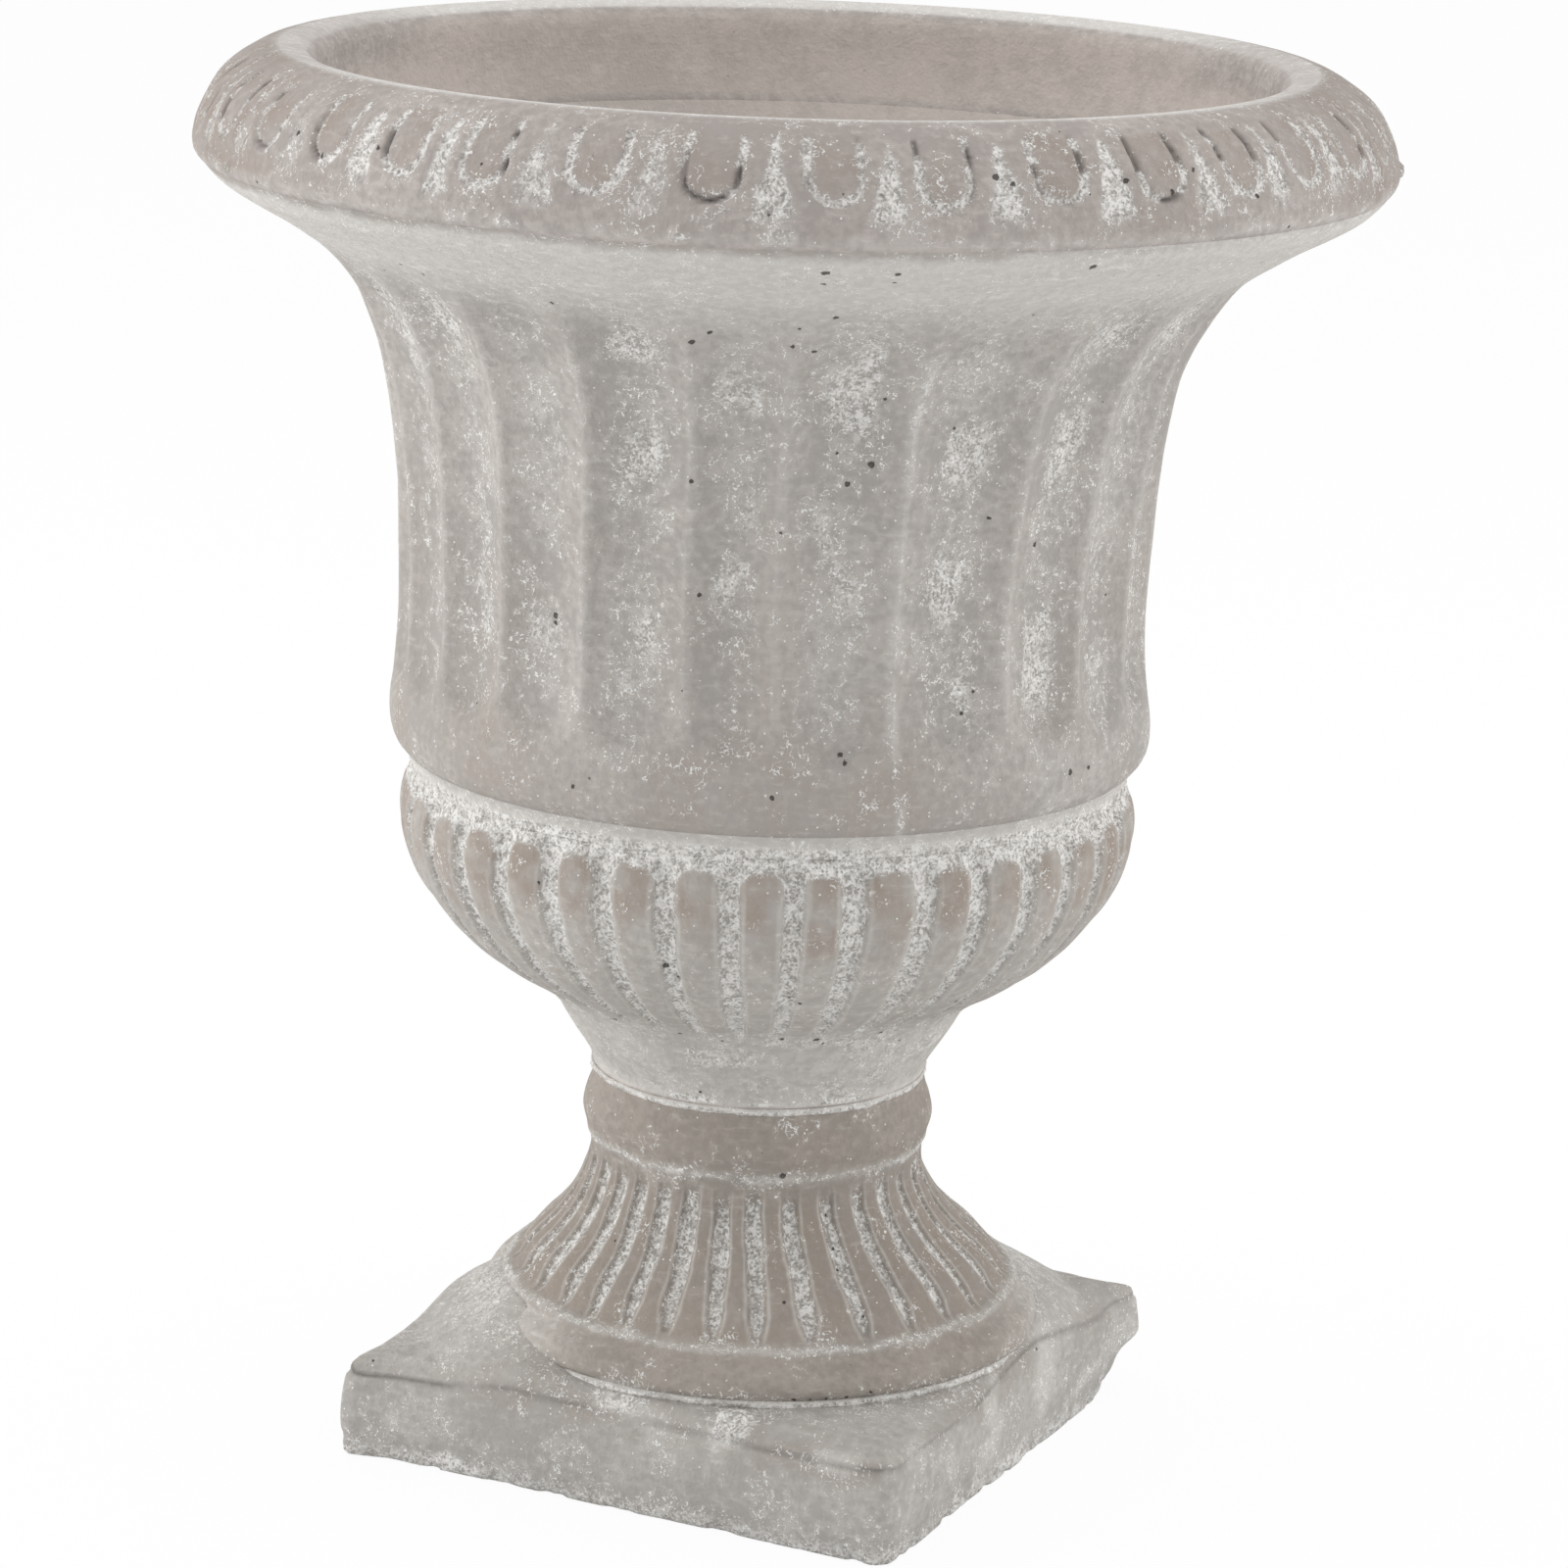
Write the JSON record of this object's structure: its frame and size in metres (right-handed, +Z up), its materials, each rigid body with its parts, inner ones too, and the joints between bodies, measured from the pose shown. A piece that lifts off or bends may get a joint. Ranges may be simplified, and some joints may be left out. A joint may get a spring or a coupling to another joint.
{
  "type": "urn vase",
  "caption": "Campana urn vase of cast cement: gadrooned cup and fluted bell with a rolled tongue-and-dart rim, on a fluted socle and a square plinth.",
  "frame": {"origin": "under the middle of the plinth, on the surface that the urn stands on", "axes": "+Z up through the mouth, X and Y square to the plinth's sides"},
  "size_m": [0.2536, 0.2536, 0.3051],
  "materials": {
    "plinth_cement": "matt cast cement, cool grey, porous, crumbly at the lower edges",
    "socle_cement": "matt cast cement, brownish ribs and chalky rough grooves",
    "cup_cement": "matt cast cement, brownish lobes and chalky rough grooves",
    "bell_cement": "matt cast cement, warm grey, with pores and brushed streaks",
    "rim_cement": "matt cast cement, brownish tongues and chalky darts",
    "bed_cement": "rough pale bedding cement",
    "dowel_steel": "plain bar",
    "pad_felt": "dark grey felt"
  },
  "bodies": {
    "root": {"felt_pad_front_left": "pad_felt", "felt_pad_front_right": "pad_felt", "felt_pad_back_left": "pad_felt", "felt_pad_back_right": "pad_felt", "square_plinth": "plinth_cement", "plinth_bed": "bed_cement", "fluted_socle": "socle_cement", "neck_bed": "bed_cement", "gadrooned_cup": "cup_cement", "body_bed": "bed_cement", "fluted_bell": "bell_cement", "tongue_and_dart_rim": "rim_cement", "stem_dowel": "dowel_steel", "dowel_grout": "bed_cement"}
  },
  "joints": []
}
